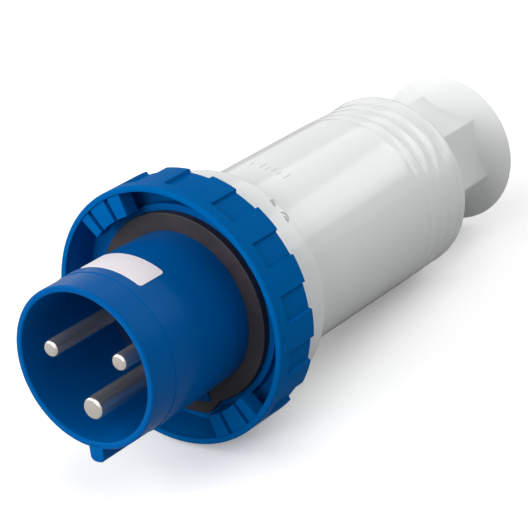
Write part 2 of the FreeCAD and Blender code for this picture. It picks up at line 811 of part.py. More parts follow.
def make_seals():
    housing_seal = new_body("housing_seal")
    turn(housing_seal, "housing_seal_ring",
         rectangle(housing_bore + mm.gland_fit, spigot_radius, spigot_end, seal_seat))
    keep(housing_seal, "housing_seal")

    gland_seal = new_body("gland_seal")
    outer = gland_bore - mm.gland_fit
    bore = seal_bore
    turn(gland_seal, "gland_seal_bush", [
        (bore + mm.seal_taper, seal_front),
        (outer, seal_front),
        (outer, cage_front),
        (bore + mm.seal_taper, cage_front),
        (bore, cage_front - mm.seal_taper),
        (bore, seal_front + mm.seal_taper),
    ])
    keep(gland_seal, "gland_seal")


def make_gland():
    cage = new_body("clamp_cage")
    outer = gland_bore - mm.gland_fit
    nose = mm.seal_taper
    turn(cage, "cage_ring", [
        (cage_bore, cage_front),
        (outer, cage_front),
        (outer, cage_rear - nose),
        (outer - nose, cage_rear),
        (cage_bore, cage_rear),
    ])
    slot = extrude(cage, "cage_slot", bar(mm.cage_slot_width / 2, cage_bore / 2, gland_bore),
                   cage_rear - mm.cage_slot_length, mm.cage_slot_length, cut=True)
    repeat_around(cage, slot, mm.cage_slots, cut=True)
    keep(cage, "clamp_cage")

    thrust = new_body("thrust_ring")
    outer = gland_bore - mm.gland_fit
    turn(thrust, "thrust_washer", rectangle(thrust_bore, outer, thrust_front, thrust_rear))
    keep(thrust, "thrust_ring")


def make_gland_nut():
    body = new_body("gland_nut")

    def draw_hexagon(sketch):
        half = nut_corner / 2
        flat = nut_corner * (math.sqrt(3) / 2)
        draw_polygon(sketch, [
            (0, nut_corner), (flat, half), (flat, -half), (0, -nut_corner), (-flat, -half), (-flat, half),
        ])

    flare_front = nut_rim_station - mm.nut_rim_rise
    flare_start = flare_front - mm.nut_flare_length
    flare_radius = mm.thread_radius - mm.nut_flare_inset
    rim = nut_rim_station + mm.nut_rim_edge
    extrude(body, "nut_hexagon", draw_hexagon, nut_front, flare_front - nut_front, at=mm.nut_phase)
    turn(body, "nut_flare", [
        (0, flare_start),
        (flare_radius, flare_start),
        (flare_radius + mm.nut_flare_bend, flare_start + mm.nut_flare_length / 2),
        (nut_corner, flare_front),
        (nut_rim, nut_rim_station),
        (nut_rim - mm.nut_rim_edge, rim),
        (0, rim),
    ])
    thread_bore = mm.thread_radius + mm.nut_thread_fit
    turn(body, "nut_bore", [
        (0, nut_front),
        (thread_bore, nut_front),
        (thread_bore, nut_shoulder),
        (nut_entry, nut_shoulder),
        (nut_entry, nut_throat_end),
        (nut_entry + mm.bell_bend_radius, nut_throat_end + mm.bell_bend_length),
        (nut_rim - mm.nut_rim_wall, rim),
        (0, rim),
    ], cut=True)
    keep(body, "gland_nut")


make_sleeve()
make_carrier()
for pin_name, (pin_angle, pin_radius) in PINS.items():
    make_pin(pin_name, pin_angle, pin_radius)
    make_terminal_screws(pin_name, pin_angle)
make_carrier_screws()
make_retainer()
make_gasket()
make_locking_ring()
make_housing()
make_seals()
make_gland()
make_gland_nut()
doc.recompute()

# Every object must have recomputed and every sub-part must be sound before anything is written
faulty = [item.Name for item in doc.Objects if "Invalid" in item.State or "Error" in item.State]
if faulty:
    raise RuntimeError(f"failed objects: {faulty}")
os.makedirs("parts", exist_ok=True)
for node in nodes:
    shape = node.Shape
    if shape.isNull() or not shape.isValid() or not shape.Solids:
        raise RuntimeError(f"{node.Label} has no sound solid")
    shape.exportStep(f"parts/{node.Label}.step")
    print(f"{node.Label}: {len(shape.Solids)} solid(s), {shape.Volume / 1000:.2f} cm3")
print(f"{len(nodes)} nodes, rest tilt {rest_tilt:.3f} degrees")
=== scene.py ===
import json
import math

import bmesh
import bpy
from mathutils import Matrix, Vector


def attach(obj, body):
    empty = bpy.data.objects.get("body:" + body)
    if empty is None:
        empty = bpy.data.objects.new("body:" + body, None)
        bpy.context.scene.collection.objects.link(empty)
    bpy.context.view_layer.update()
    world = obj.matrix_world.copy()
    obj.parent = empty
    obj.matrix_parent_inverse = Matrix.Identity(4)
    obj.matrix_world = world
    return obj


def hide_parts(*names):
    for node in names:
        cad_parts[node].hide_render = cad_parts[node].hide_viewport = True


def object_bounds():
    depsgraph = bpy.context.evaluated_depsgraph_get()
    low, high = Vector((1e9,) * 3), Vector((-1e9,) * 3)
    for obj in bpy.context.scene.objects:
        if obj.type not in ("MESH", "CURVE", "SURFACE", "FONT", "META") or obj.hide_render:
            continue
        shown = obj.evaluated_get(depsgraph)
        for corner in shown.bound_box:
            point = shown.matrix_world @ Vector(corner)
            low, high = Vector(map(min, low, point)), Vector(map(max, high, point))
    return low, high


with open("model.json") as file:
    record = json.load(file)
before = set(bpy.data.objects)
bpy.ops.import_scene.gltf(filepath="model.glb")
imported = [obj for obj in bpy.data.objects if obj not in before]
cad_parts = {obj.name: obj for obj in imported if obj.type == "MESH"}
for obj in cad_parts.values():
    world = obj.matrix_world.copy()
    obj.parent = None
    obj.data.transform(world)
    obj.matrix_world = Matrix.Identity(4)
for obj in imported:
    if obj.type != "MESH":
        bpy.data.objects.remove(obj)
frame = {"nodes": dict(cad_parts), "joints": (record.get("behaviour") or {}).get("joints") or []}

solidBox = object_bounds()
print("frame loaded")

# Pieces are drawn in millimetres about the plug's own axis: +Y runs from the mouth to the cable entry,
# an angle of 0 is the top (+Z) and 90 the right-hand side (+X), and the key is at 180.
millimetre = 0.001
nutAxis = next(joint for joint in frame["joints"] if joint["name"] == "gland_turn")["axis"]
restTilt = math.atan2(-nutAxis[2], nutAxis[1])
toRest = Matrix.Rotation(-restTilt, 4, "X") @ Matrix.Scale(millimetre, 4)


# materials

def newMaterial(name):
    material = bpy.data.materials.new(name)
    material.use_nodes = True
    tree = material.node_tree
    shader = tree.nodes["Principled BSDF"]
    place = tree.nodes.new("ShaderNodeTexCoord")
    return material, tree, shader, place.outputs["Object"]


def noiseAt(tree, place, scale, detail, roughness=0.5):
    noise = tree.nodes.new("ShaderNodeTexNoise")
    noise.inputs["Scale"].default_value = scale
    noise.inputs["Detail"].default_value = detail
    noise.inputs["Roughness"].default_value = roughness
    tree.links.new(place, noise.inputs["Vector"])
    return noise.outputs["Fac"]


def rangeOf(tree, value, low, high, fromLow=0.3, fromHigh=0.7):
    spread = tree.nodes.new("ShaderNodeMapRange")
    spread.inputs["From Min"].default_value = fromLow
    spread.inputs["From Max"].default_value = fromHigh
    spread.inputs["To Min"].default_value = low
    spread.inputs["To Max"].default_value = high
    tree.links.new(value, spread.inputs["Value"])
    return spread.outputs["Result"]


def mixColours(tree, factor, first, second):
    mix = tree.nodes.new("ShaderNodeMix")
    mix.data_type = "RGBA"
    mix.inputs["A"].default_value = (*first, 1)
    mix.inputs["B"].default_value = (*second, 1)
    tree.links.new(factor, mix.inputs["Factor"])
    return mix.outputs["Result"]


def varyBy(tree, shader, pattern, colours, roughness):
    # the pattern mixes two colours, and moves the roughness between two values
    mixed = mixColours(tree, rangeOf(tree, pattern, 0, 1), *colours)
    tree.links.new(mixed, shader.inputs["Base Color"])
    tree.links.new(rangeOf(tree, pattern, *roughness), shader.inputs["Roughness"])


def bumpFrom(tree, shader, height, distance, strength):
    bump = tree.nodes.new("ShaderNodeBump")
    bump.inputs["Distance"].default_value = distance
    bump.inputs["Strength"].default_value = strength
    tree.links.new(height, bump.inputs["Height"])
    tree.links.new(bump.outputs["Normal"], shader.inputs["Normal"])


def mouldedPlastic(name, colour, deeper, roughness, tint=(1, 1, 1), gloss=0.5):
    # the faint clouding of moulded plastic, and the fine texture of its mould
    look = {"clouds": 38, "grain": 1400, "detail": 2.0, "smoother": 0.02, "rougher": 0.03,
            "bumpHeight": 0.00001, "bumpStrength": 0.15}
    material, tree, shader, place = newMaterial(name)
    clouds = noiseAt(tree, place, look["clouds"], look["detail"])
    grain = noiseAt(tree, place, look["grain"], look["detail"])
    spread = (roughness - look["smoother"], roughness + look["rougher"])
    varyBy(tree, shader, clouds, (colour, deeper), spread)
    shader.inputs["Specular Tint"].default_value = (*tint, 1)
    shader.inputs["Specular IOR Level"].default_value = gloss
    bumpFrom(tree, shader, grain, look["bumpHeight"], look["bumpStrength"])
    return material


def softRubber(name, colour, dusty, roughness):
    # a little dust in patches, on a fine matt grain
    look = {"dust": 160, "dustDetail": 5.0, "dustRoughness": 0.6, "grain": 3000, "grainDetail": 2.0,
            "smoother": 0.06, "rougher": 0.08, "gloss": 0.4, "bumpHeight": 0.00005, "bumpStrength": 0.5}
    material, tree, shader, place = newMaterial(name)
    dust = noiseAt(tree, place, look["dust"], look["dustDetail"], look["dustRoughness"])
    grain = noiseAt(tree, place, look["grain"], look["grainDetail"])
    spread = (roughness - look["smoother"], roughness + look["rougher"])
    varyBy(tree, shader, dust, (colour, dusty), spread)
    shader.inputs["Specular IOR Level"].default_value = look["gloss"]
    bumpFrom(tree, shader, grain, look["bumpHeight"], look["bumpStrength"])
    return material


def turnedMetal(name, colour, tarnish, roughness, centre):
    # rings around the piece's own axis at centre (x, z in metres), as from a lathe, and stray streaks
    look = {"streaks": (700, 25, 700), "wear": 1.0, "wearDetail": 3.0, "rings": 900, "distortion": 1.5,
            "smoother": 0.03, "rougher": 0.04, "metallic": 0.8, "bumpHeight": 0.00002, "bumpStrength": 0.3}
    material, tree, shader, place = newMaterial(name)
    ownAxis = tree.nodes.new("ShaderNodeMapping")
    ownAxis.inputs["Location"].default_value = (-centre[0], 0, -centre[1])
    tree.links.new(place, ownAxis.inputs["Vector"])
    streaks = tree.nodes.new("ShaderNodeMapping")
    streaks.inputs["Scale"].default_value = look["streaks"]
    tree.links.new(ownAxis.outputs["Vector"], streaks.inputs["Vector"])
    wear = noiseAt(tree, streaks.outputs["Vector"], look["wear"], look["wearDetail"])
    rings = tree.nodes.new("ShaderNodeTexWave")
    rings.wave_type = "RINGS"
    rings.rings_direction = "Y"
    rings.inputs["Scale"].default_value = look["rings"]
    rings.inputs["Distortion"].default_value = look["distortion"]
    tree.links.new(ownAxis.outputs["Vector"], rings.inputs["Vector"])
    spread = (roughness - look["smoother"], roughness + look["rougher"])
    varyBy(tree, shader, wear, (colour, tarnish), spread)
    shader.inputs["Metallic"].default_value = look["metallic"]
    bumpFrom(tree, shader, rings.outputs["Fac"], look["bumpHeight"], look["bumpStrength"])
    return material


def labelPaper(name, colour, fibre):
    look = {"pulp": 900, "pulpDetail": 4.0, "pulpRoughness": 0.7, "roughness": (0.38, 0.5),
            "bumpHeight": 0.00002, "bumpStrength": 0.3}
    material, tree, shader, place = newMaterial(name)
    pulp = noiseAt(tree, place, look["pulp"], look["pulpDetail"], look["pulpRoughness"])
    varyBy(tree, shader, pulp, (colour, fibre), look["roughness"])
    bumpFrom(tree, shader, pulp, look["bumpHeight"], look["bumpStrength"])
    return material


blueTint = (0.02, 0.45, 1.0)
sleeveBlue = mouldedPlastic("sleeveBlue", (0.0, 0.096, 0.34), (0.0, 0.090, 0.32), 0.2, blueTint, gloss=0.05)
ringBlue = mouldedPlastic("ringBlue", (0.0, 0.110, 0.36), (0.0, 0.104, 0.34), 0.3, blueTint, gloss=0.005)
# the contact carrier is the sleeve's blue darkened to a navy: painted shade for the shadow deep inside the
# sleeve
carrierBlueWithPaintedShade = mouldedPlastic("carrierBlueWithPaintedShade", (0.014, 0.036, 0.11), (0.012, 0.032, 0.10), 0.4, gloss=0.3)
housingWhite = mouldedPlastic("housingWhite", (0.76, 0.785, 0.775), (0.745, 0.77, 0.76), 0.12)
nutWhite = mouldedPlastic("nutWhite", (0.76, 0.785, 0.775), (0.745, 0.77, 0.76), 0.36)
gasketRubber = softRubber("gasketRubber", (0.019, 0.016, 0.019), (0.030, 0.025, 0.029), 0.55)
# painted shade: the grey of the locking marks stands for the shading of their moulded relief
markPaintedShade = mouldedPlastic("markPaintedShade", (0.43, 0.44, 0.435), (0.41, 0.42, 0.415), 0.4)
glandRubber = softRubber("glandRubber", (0.028, 0.028, 0.028), (0.045, 0.045, 0.044), 0.6)
retainerBlack = mouldedPlastic("retainerBlack", (0.03, 0.03, 0.032), (0.022, 0.022, 0.024), 0.5)
cageGrey = mouldedPlastic("cageGrey", (0.40, 0.41, 0.41), (0.36, 0.37, 0.37), 0.45)
screwSteel = turnedMetal("screwSteel", (0.62, 0.62, 0.60), (0.5, 0.5, 0.48), 0.32, (0, 0))
paper = labelPaper("labelPaper", (0.86, 0.81, 0.84), (0.82, 0.77, 0.80))
print("materials made")


# modelling steps shared by the pieces, all lengths in millimetres

closeBy = 0.01  # two places nearer than this are the same place
weldGap = 0.0005  # points nearer than this are merged when a piece is finished
sharpTurn = 0.8  # radians between the faces of an edge that is softened


def roundOff(mesh, parts, size, segments, affect="EDGES", clamp=False):
    bmesh.ops.bevel(mesh, geom=parts, offset=size, offset_type="OFFSET", affect=affect, segments=segments,
                    profile=0.5, material=-1, clamp_overlap=clamp)


def outlineFace(mesh, corners, rounds):
    # a closed outline of (radius, station) corners; rounds gives a rounding size to some corners
    verts = [mesh.verts.new((radius, station, 0)) for radius, station in corners]
    mesh.faces.new(verts)
    for index, size in rounds.items():
        roundOff(mesh, [verts[index]], size, 4, "VERTICES")


def spinWhole(mesh, steps=360):
    bmesh.ops.delete(mesh, geom=mesh.faces[:], context="FACES_ONLY")
    bmesh.ops.spin(mesh, geom=mesh.verts[:] + mesh.edges[:], cent=(0, 0, 0), axis=(0, 1, 0), dvec=(0, 0, 0),
                   angle=math.tau, steps=steps, use_merge=True, use_duplicate=False)


def spunBlock(mesh, radii, stations, at, angle, steps, edge=0):
    # a block between two radii and two stations that turns through angle degrees, half of them to each
    # side of the angle at; edge is how much its sharp edges are softened
    inner, outer = radii
    front, rear = stations
    part = bmesh.new()
    outlineFace(part, [(inner, front), (outer, front), (outer, rear), (inner, rear)], {})
    start = Matrix.Rotation(math.radians(at - angle / 2 - 90), 4, "Y")
    bmesh.ops.transform(part, matrix=start, verts=part.verts[:])
    bmesh.ops.spin(part, geom=part.verts[:] + part.edges[:] + part.faces[:], cent=(0, 0, 0), axis=(0, 1, 0),
                   dvec=(0, 0, 0), angle=math.radians(angle), steps=steps, use_merge=False,
                   use_duplicate=False)
    bmesh.ops.recalc_face_normals(part, faces=part.faces[:])
    if edge:
        sharp = [side for side in part.edges if side.calc_face_angle(0) > sharpTurn]
        roundOff(part, sharp, edge, 3, clamp=True)
    joinInto(mesh, part)


def joinInto(mesh, part):
    held = bpy.data.meshes.new("held")
    part.to_mesh(held)
    part.free()
    mesh.from_mesh(held)
    bpy.data.meshes.remove(held)


def pullOut(mesh, shift):
    # gives a flat sheet its thickness
    grown = bmesh.ops.extrude_face_region(mesh, geom=mesh.faces[:])
    moved = [item for item in grown["geom"] if isinstance(item, bmesh.types.BMVert)]
    bmesh.ops.translate(mesh, vec=shift, verts=moved)


def wrapRound(mesh, radius, sunk=0):
    # bends a flat piece round the axis, and sinks it into the wall: x runs round and z points outwards
    for vert in mesh.verts:
        turned = vert.co.x / radius
        reach = radius - sunk + vert.co.z
        vert.co.x, vert.co.z = reach * math.sin(turned), reach * math.cos(turned)


def placeOf(vert):
    # radius, and angle in degrees from 0 to 360
    return math.hypot(vert.co.x, vert.co.z), math.degrees(math.atan2(vert.co.x, vert.co.z)) % 360


def setRadius(vert, radius):
    factor = radius / math.hypot(vert.co.x, vert.co.z)
    vert.co.x *= factor
    vert.co.z *= factor


def atCorner(vert, corner):
    # whether a point of the outline is at this (radius, station) corner
    return abs(vert.co.x - corner[0]) < closeBy and abs(vert.co.y - corner[1]) < closeBy


def endsAt(edge, corner):
    return any(atCorner(vert, corner) for vert in edge.verts)


def cutEdge(mesh, low, high, cuts):
    # divides the outline's edge that lies between two (radius, station) corners
    for edge in mesh.edges:
        if endsAt(edge, low) and endsAt(edge, high):
            bmesh.ops.subdivide_edges(mesh, edges=[edge], cuts=cuts)
            return


def roundCorner(mesh, corner, size, segments):
    roundOff(mesh, [vert for vert in mesh.verts if atCorner(vert, corner)], size, segments, "VERTICES")


def runsAlong(edge):
    # whether an edge runs along the plug's axis
    return abs(edge.verts[0].co.y - edge.verts[1].co.y) > closeBy


def softLeast(first, second, soft):
    # the smaller of two values, with a rounded change from one to the other
    least = min(first, second)
    return least - soft * math.log(math.exp((least - first) / soft) + math.exp((least - second) / soft))


def fade(value, start, length):
    # 0 up to start, and from there straight to 1 over this length
    return min(1, max(0, (value - start) / length))


def objectFrom(mesh, name):
    data = bpy.data.meshes.new(name)
    mesh.to_mesh(data)
    mesh.free()
    made = bpy.data.objects.new(name, data)
    bpy.context.scene.collection.objects.link(made)
    return made


def finishPiece(mesh, name, body, material, replaced=(), sharpAngle=38):
    bmesh.ops.remove_doubles(mesh, verts=mesh.verts[:], dist=weldGap)
    bmesh.ops.recalc_face_normals(mesh, faces=mesh.faces[:])
    bmesh.ops.transform(mesh, matrix=toRest, verts=mesh.verts[:])
    piece = objectFrom(mesh, name)
    piece.data.shade_smooth()
    piece.data.set_sharp_from_angle(angle=math.radians(sharpAngle))
    piece.data.materials.append(material)
    weighting = piece.modifiers.new("faceWeight", "WEIGHTED_NORMAL")
    weighting.keep_sharp = True
    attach(piece, body)
    if replaced:
        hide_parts(*replaced)
    print(name, "made,", len(piece.data.polygons), "faces")


# sleeve: shroud around the pins, with the key under it and the flange and spigot behind

def makeSleeve():
    shape = {"inner": 26.35, "outer": 28.75, "mouthRound": 0.7, "bandEnd": 12.0, "bandStep": 0.1,
             "bodyFront": 29.0, "bodyRear": 28.3, "floor": 46.0, "carrier": 27.0, "ledge": 63.0,
             "seat": 55.0, "flange": 37.0, "flangeRear": 57.9, "flangeRound": 0.35,
             "neck": 35.4, "neckRear": 64.0,
             "spigot": 34.2, "spigotRear": 76.4, "spigotRound": 0.4, "spigotBore": 31.8,
             "keyHalf": 2.95, "keyReach": 33.9, "keySunk": 1.6, "keyRound": 2.2, "keyFrontRound": 0.55,
             "rootFront": 51.5, "rootReach": 34.1, "rootSunk": 1.2, "rootOverlap": 0.3, "rootAngle": 25.2,
             "lobe": ((-12.3, -32.5), (-7, -39.1), (7, -39.1), (12.3, -32.5)),
             "lobeRound": 1.9, "lobeEdge": 0.4,
             "stopRadii": (35.1, 37.0), "stopStations": (57.6, 63.2), "stopAngle": 8,
             "lugRadii": (33.0, 36.9), "lugStations": (71.2, 75.3), "lugAngle": 20, "lugEdge": 0.5,
             "lugsAt": (90, 210, 330), "blockEdge": 0.3}
    mesh = bmesh.new()
    outlineFace(mesh, [
        (shape["inner"], 0), (shape["outer"], 0), (shape["outer"], shape["bandEnd"]),
        (shape["bodyFront"], shape["bandEnd"] + shape["bandStep"]), (shape["bodyRear"], shape["seat"]),
        (shape["flange"], shape["seat"]), (shape["flange"], shape["flangeRear"]),
        (shape["neck"], shape["flangeRear"]), (shape["neck"], shape["neckRear"]),
        (shape["spigot"], shape["neckRear"]), (shape["spigot"], shape["spigotRear"]),
        (shape["spigotBore"], shape["spigotRear"]), (shape["spigotBore"], shape["ledge"]),
        (shape["carrier"], shape["ledge"]), (shape["carrier"], shape["floor"]),
        (shape["inner"], shape["floor"]),
    ], {0: shape["mouthRound"], 1: shape["mouthRound"], 5: shape["flangeRound"], 6: shape["flangeRound"],
        10: shape["spigotRound"]})
    spinWhole(mesh)
    # the key starts as a block as long as the shroud
    key = bmesh.new()
    bmesh.ops.create_cube(key, size=1.0)
    height = shape["keyReach"] - shape["outer"] + shape["keySunk"]
    bmesh.ops.scale(key, vec=(shape["keyHalf"] * 2, shape["seat"], height), verts=key.verts[:])
    middle = (0, shape["seat"] / 2, -shape["keyReach"] + height / 2)
    bmesh.ops.translate(key, vec=middle, verts=key.verts[:])
    bottom = -shape["keyReach"] + closeBy
    lowEdges = [edge for edge in key.edges
                if runsAlong(edge) and all(vert.co.z < bottom for vert in edge.verts)]
    roundOff(key, lowEdges, shape["keyRound"], 8)
    frontEdges = [edge for edge in key.edges if all(abs(vert.co.y) < closeBy for vert in edge.verts)]
    roundOff(key, frontEdges, shape["keyFrontRound"], 4)
    joinInto(mesh, key)
    # its broad root stands in the gasket's slot
    spunBlock(mesh, (shape["outer"] - shape["rootSunk"], shape["rootReach"]),
              (shape["rootFront"], shape["seat"] + shape["rootOverlap"]),
              180, shape["rootAngle"], 12, shape["blockEdge"])
    # the flange's lobe behind the gasket's tail
    lobe = bmesh.new()
    lobeVerts = [lobe.verts.new((across, shape["seat"], up)) for across, up in shape["lobe"]]
    lobe.faces.new(lobeVerts)
    roundOff(lobe, lobeVerts[1:3], shape["lobeRound"], 6, "VERTICES")
    pullOut(lobe, (0, shape["flangeRear"] - shape["seat"], 0))
    roundOff(lobe, [edge for edge in lobe.edges if not runsAlong(edge)], shape["lobeEdge"], 3)
    joinInto(mesh, lobe)
    # the rib that stops the ring's turn, and the lugs that lock the spigot in the housing
    spunBlock(mesh, shape["stopRadii"], shape["stopStations"], 0, shape["stopAngle"], 8, shape["blockEdge"])
    for lugAt in shape["lugsAt"]:
        spunBlock(mesh, shape["lugRadii"], shape["lugStations"], lugAt, shape["lugAngle"], 20,
                  shape["lugEdge"])
    finishPiece(mesh, "sleeve", "plug_body", sleeveBlue, ["plug_sleeve"])


# gasket: flat rubber ring with a tail around the key, whose broad root fills its slot

def makeGasket():
    shape = {"inner": 28.4, "outer": 34.7, "rimWidth": 3.0, "front": 52.0, "rear": 55.0, "edge": 0.35,
             "tail": ((11.8, 32.5), (5.8, 38.7)), "tailRound": 0.65,
             "slotHalf": 7.1, "slotFoot": 33.9, "slotRound": 0.7, "slotRim": 0.8}

    def directionOf(angle):
        turned = math.radians(angle)
        return abs(math.sin(turned)), -math.cos(turned)

    def tailReach(angle):
        # how far the tail's outline lies from the axis in this direction
        across, down = directionOf(angle)
        (wide, top), (narrow, bottom) = shape["tail"]
        if down <= 0 or across / down > wide / top:
            return 0
        fall, inwards = bottom - top, wide - narrow
        flank = (fall * wide + inwards * top) / max(1e-6, fall * across + inwards * down)
        return softLeast(flank, bottom / down, shape["tailRound"])

    def slotReach(angle):
        # the same for the slot around the key's root, which lies within 60 degrees of the bottom
        across, down = directionOf(angle)
        if down <= 0.5:
            return 0
        return softLeast(shape["slotHalf"] / max(across, 0.01), shape["slotFoot"] / down,
                         shape["slotRound"])

    mesh = bmesh.new()
    rimFoot = shape["outer"] - shape["rimWidth"]
    outlineFace(mesh, [
        (shape["inner"], shape["front"]), (rimFoot, shape["front"]), (shape["outer"], shape["front"]),
        (shape["outer"], shape["rear"]), (rimFoot, shape["rear"]), (shape["inner"], shape["rear"]),
    ], {2: shape["edge"], 3: shape["edge"]})
    spinWhole(mesh, 720)
    for vert in mesh.verts:
        radius, angle = placeOf(vert)
        if radius > rimFoot + closeBy:
            setRadius(vert, radius + max(0, tailReach(angle) - shape["outer"]))
        elif radius > shape["inner"] + closeBy:
            setRadius(vert, max(radius, slotReach(angle) + shape["slotRim"]))
        else:
            setRadius(vert, max(radius, slotReach(angle)))
    finishPiece(mesh, "matingGasket", "plug_body", gasketRubber, ["mating_gasket"])


# locking ring: grips outside, two slotted tabs inside its front lip

def makeRing():
    shape = {"front": 44.0, "rear": 63.5, "outer": 47.0, "lip": 44.8, "lipRear": 47.5, "bore": 43.9,
             "boreFront": 49.5, "bearing": 35.7, "floor": 58.2,
             "rounds": {0: 0.4, 1: 0.7, 4: 0.5, 5: 0.3, 7: 0.8},
             "gripFront": 49.0, "gripStep": 0.3, "gripPitch": 24.0, "gripSkin": 0.9,
             "hollowStart": 27.0, "hollowWidth": 12.0, "hollowEnd": 0.25, "hollowDepth": 1.3,
             "tabInner": 36.7, "tabOuter": 45.9, "tabFront": 44.5, "tabRear": 50.5, "tabAt": -32.5,
             "tabAngle": 27.8, "tabInset": 0.1, "slotDepth": 1.6, "padRoot": 1.0, "padEdge": 0.28,
             "pads": ((-46.5, -41.1), (-38.7, -28.6), (-26.2, -18.5))}
    mesh = bmesh.new()
    outlineFace(mesh, [
        (shape["lip"], shape["front"]), (shape["outer"], shape["front"]),
        (shape["outer"], shape["gripFront"]), (shape["outer"], shape["gripFront"] + shape["gripStep"]),
        (shape["outer"], shape["rear"]), (shape["bearing"], shape["rear"]),
        (shape["bearing"], shape["floor"]), (shape["bore"], shape["floor"]),
        (shape["bore"], shape["boreFront"]), (shape["lip"], shape["lipRear"]),
    ], shape["rounds"])
    spinWhole(mesh, 720)
    # the outside between the grip pads goes in
    for vert in mesh.verts:
        radius, angle = placeOf(vert)
        past = (angle - shape["hollowStart"]) % shape["gripPitch"]
        inHollow = shape["hollowEnd"] < past < shape["hollowWidth"] - shape["hollowEnd"]
        behind = vert.co.y > shape["gripFront"] + shape["gripStep"] / 2
        if inHollow and behind and radius > shape["outer"] - shape["gripSkin"]:
            setRadius(vert, radius - shape["hollowDepth"])
    # two tabs, each with three raised pads and the slots between them
    slotFloor = shape["tabFront"] + shape["slotDepth"]
    for opposite in (0, 180):
        spunBlock(mesh, (shape["tabInner"] + shape["tabInset"], shape["tabOuter"]),
                  (slotFloor, shape["tabRear"]), shape["tabAt"] + opposite, shape["tabAngle"], 56)
        for start, end in shape["pads"]:
            spunBlock(mesh, (shape["tabInner"], shape["tabOuter"]),
                      (shape["tabFront"], slotFloor + shape["padRoot"]),
                      (start + end) / 2 + opposite, end - start, 12, shape["padEdge"])
    finishPiece(mesh, "lockingRing", "ring", ringBlue, ["locking_ring"])


# contact pins: turned in one piece with their terminal barrels

def makePins():
    shape = {"pins": (("earth", 180, 4.0), ("line", 75, 3.0), ("neutral", -75, 3.0)), "circle": 15.07,
             "axis": 0.001, "tip": 1.2, "tipRound": 1.1, "face": 46.0, "shankStep": 0.4,
             "barrel": 5.5, "barrelFront": 60.0, "barrelRear": 79.5, "barrelRound": 0.3,
             "wireBore": 3.4, "wireBoreFront": 64.5,
             "nickel": (0.72, 0.68, 0.63), "tarnish": (0.65, 0.60, 0.54), "roughness": 0.13}
    for name, angle, radius in shape["pins"]:
        mesh = bmesh.new()
        shank = radius + shape["shankStep"]
        outlineFace(mesh, [
            (shape["axis"], shape["tip"]), (radius, shape["tip"]), (radius, shape["face"]),
            (shank, shape["face"]), (shank, shape["barrelFront"]), (shape["barrel"], shape["barrelFront"]),
            (shape["barrel"], shape["barrelRear"]), (shape["wireBore"], shape["barrelRear"]),
            (shape["wireBore"], shape["wireBoreFront"]), (shape["axis"], shape["wireBoreFront"]),
        ], {1: shape["tipRound"], 5: shape["barrelRound"], 6: shape["barrelRound"]})
        spinWhole(mesh, 96)
        poles = [vert for vert in mesh.verts if placeOf(vert)[0] < closeBy]
        bmesh.ops.remove_doubles(mesh, verts=poles, dist=closeBy)
        turned = math.radians(angle)
        spot = Vector((shape["circle"] * math.sin(turned), 0, shape["circle"] * math.cos(turned)))
        bmesh.ops.translate(mesh, vec=spot, verts=mesh.verts[:])
        metal = turnedMetal(name + "Nickel", shape["nickel"], shape["tarnish"], shape["roughness"],
                            (spot.x * millimetre, spot.z * millimetre))
        finishPiece(mesh, name + "Pin", "plug_body", metal, [name + "_pin"])


# rear housing: flange, long body, two ribbed grip pads and the threaded neck for the gland nut

